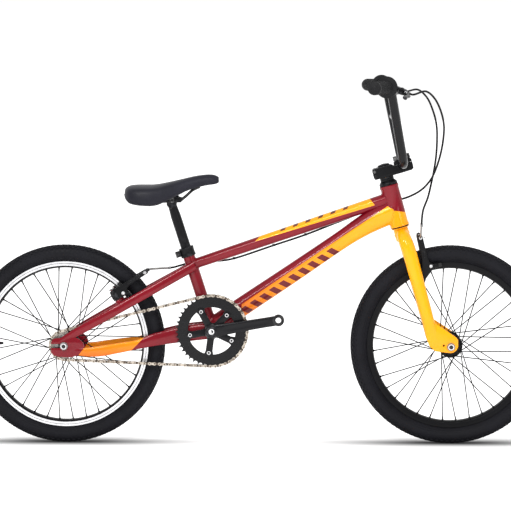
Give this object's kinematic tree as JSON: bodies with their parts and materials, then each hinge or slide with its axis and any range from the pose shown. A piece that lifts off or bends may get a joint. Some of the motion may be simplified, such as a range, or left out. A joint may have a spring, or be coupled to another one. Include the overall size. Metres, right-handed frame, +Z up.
{
  "type": "bmx bicycle",
  "caption": "Small-wheel stunt bicycle with a tapered alloy frame, unicrown fork, high-rise handlebar, single-speed chain drive and rim brakes.",
  "frame": {"origin": "on the ground midway between the two wheel axles, in the bicycle's middle plane", "axes": "+X forward, +Y to the rider's left (away from the chain), +Z up"},
  "size_m": [1.466, 0.7236, 0.9238],
  "materials": {
    "maroon_paint": "candy gloss",
    "orange_paint": "gloss",
    "black_paint": "satin",
    "black_alloy": "black anodised",
    "silver_alloy": "brushed",
    "black_steel": "black satin",
    "bright_steel": "zinc plated",
    "chain_steel": "nickel plated",
    "spoke_steel": "black",
    "tyre_rubber": "moulded",
    "grip_rubber": "matte",
    "saddle_vinyl": "matte grained vinyl",
    "saddle_plastic": "moulded",
    "cable_jacket": "satin jacket"
  },
  "bodies": {
    "frame": {"head_tube": "maroon_paint", "top_tube": "maroon_paint", "down_tube": "maroon_paint", "seat_tube": "maroon_paint", "bb_shell": "maroon_paint", "seat_stay_R": "maroon_paint", "seat_stay_L": "maroon_paint", "chain_stay_R": "maroon_paint", "chain_stay_L": "maroon_paint", "seat_collar": "black_alloy", "headset_cup_upper": "black_alloy", "headset_cup_lower": "black_alloy", "bb_cup_R": "black_alloy", "bb_cup_L": "black_alloy", "rear_axle": "bright_steel", "rear_nut_R": "bright_steel", "rear_nut_L": "bright_steel", "chain": "chain_steel", "rear_brake_cable": "cable_jacket"},
    "seat_post": {"seatpost": "black_alloy"},
    "saddle": {"saddle_clamp": "black_steel", "saddle_rails": "black_steel", "saddle_shell": "saddle_plastic", "saddle_pad": "saddle_vinyl"},
    "steering": {"steerer_tube": "orange_paint", "fork_leg_R": "orange_paint", "fork_leg_L": "orange_paint", "headset_cover": "black_alloy", "stem": "black_alloy", "stem_clamp_plate": "black_alloy", "stem_cap": "black_alloy", "handlebar": "black_paint", "crossbar": "black_paint", "grip_R": "grip_rubber", "grip_L": "grip_rubber", "lever_bracket_R": "black_alloy", "lever_bracket_L": "black_alloy", "front_axle": "bright_steel", "front_nut_R": "bright_steel", "front_nut_L": "bright_steel", "front_brake_cable": "cable_jacket"},
    "front_wheel": {"front_tyre": "tyre_rubber", "front_rim": "black_alloy", "front_hub": "black_alloy", "front_spokes": "spoke_steel"},
    "rear_wheel": {"rear_tyre": "tyre_rubber", "rear_rim": "silver_alloy", "rear_hub": "black_alloy", "rear_spokes": "spoke_steel"},
    "freewheel_body": {"freewheel": "bright_steel"},
    "crankset": {"crank_R": "black_paint", "crank_L": "black_paint", "spindle": "black_steel", "chainring": "black_paint"},
    "brake_lever_R": {"lever_R": "black_alloy"},
    "brake_lever_L": {"lever_L": "black_alloy"},
    "front_arm_R": {"brake_arm_front_R": "black_alloy"},
    "front_arm_L": {"brake_arm_front_L": "black_alloy"},
    "rear_arm_R": {"brake_arm_rear_R": "black_alloy"},
    "rear_arm_L": {"brake_arm_rear_L": "black_alloy"}
  },
  "joints": [
    {"name": "steering", "type": "hinge", "parent": "frame", "child": "steering", "pos_m": [0.3563, 0, 0.5474], "axis": [-0.2672, 0, 0.9636], "range_deg": [-75, 75], "deforming": ["rear_brake_cable"]},
    {"name": "front_wheel_spin", "type": "hinge", "parent": "steering", "child": "front_wheel", "pos_m": [0.483, 0, 0.25], "axis": [0, 1, 0], "continuous": true},
    {"name": "rear_wheel_spin", "type": "hinge", "parent": "frame", "child": "rear_wheel", "pos_m": [-0.483, 0, 0.25], "axis": [0, 1, 0], "continuous": true},
    {"name": "crank_spin", "type": "hinge", "parent": "frame", "child": "crankset", "pos_m": [-0.114, 0, 0.287], "axis": [0, 1, 0], "continuous": true},
    {"name": "freewheel_spin", "type": "hinge", "parent": "frame", "child": "freewheel_body", "pos_m": [-0.483, 0, 0.25], "axis": [0, 1, 0], "continuous": true},
    {"name": "seat_height", "type": "slide", "parent": "frame", "child": "seat_post", "axis": [-0.3057, 0, 0.9521], "range_m": [-0.075, 0.04]},
    {"name": "saddle_tilt", "type": "hinge", "parent": "seat_post", "child": "saddle", "pos_m": [-0.21549, 0, 0.60311], "axis": [0, 1, 0], "range_deg": [-8, 8]},
    {"name": "lever_pull_R", "type": "hinge", "parent": "steering", "child": "brake_lever_R", "pos_m": [0.3495, -0.22741, 0.88498], "axis": [-0.3297, 0.0913, -0.9397], "range_deg": [0, 20], "stiffness_Nm_per_rad": 0.5, "springref_deg": -22.92},
    {"name": "lever_pull_L", "type": "hinge", "parent": "steering", "child": "brake_lever_L", "pos_m": [0.3495, 0.22741, 0.88498], "axis": [0.3297, 0.0913, 0.9397], "range_deg": [0, 20], "stiffness_Nm_per_rad": 0.5, "springref_deg": -22.92, "deforming": ["front_brake_cable"]},
    {"name": "front_brake_R", "type": "hinge", "parent": "steering", "child": "front_arm_R", "pos_m": [0.40795, -0.029, 0.40606], "axis": [-0.9636, 0, -0.2672], "range_deg": [0, 2.6]},
    {"name": "front_brake_L", "type": "hinge", "parent": "steering", "child": "front_arm_L", "pos_m": [0.40795, 0.029, 0.40606], "axis": [0.9636, 0, 0.2672], "range_deg": [0, 2.6]},
    {"name": "rear_brake_R", "type": "hinge", "parent": "frame", "child": "rear_arm_R", "pos_m": [-0.35461, -0.044, 0.37306], "axis": [-0.4886, 0, 0.8725], "range_deg": [0, 2.6]},
    {"name": "rear_brake_L", "type": "hinge", "parent": "frame", "child": "rear_arm_L", "pos_m": [-0.35461, 0.044, 0.37306], "axis": [0.4886, 0, -0.8725], "range_deg": [0, 2.6]}
  ],
  "couplings": [
    {"joint": "freewheel_spin", "follows": "crank_spin", "ratio": 2.4444},
    {"joint": "rear_brake_R", "follows": "lever_pull_R", "ratio": 0.125},
    {"joint": "rear_brake_L", "follows": "lever_pull_R", "ratio": 0.125},
    {"joint": "front_brake_R", "follows": "lever_pull_L", "ratio": 0.125},
    {"joint": "front_brake_L", "follows": "lever_pull_L", "ratio": 0.125}
  ]
}
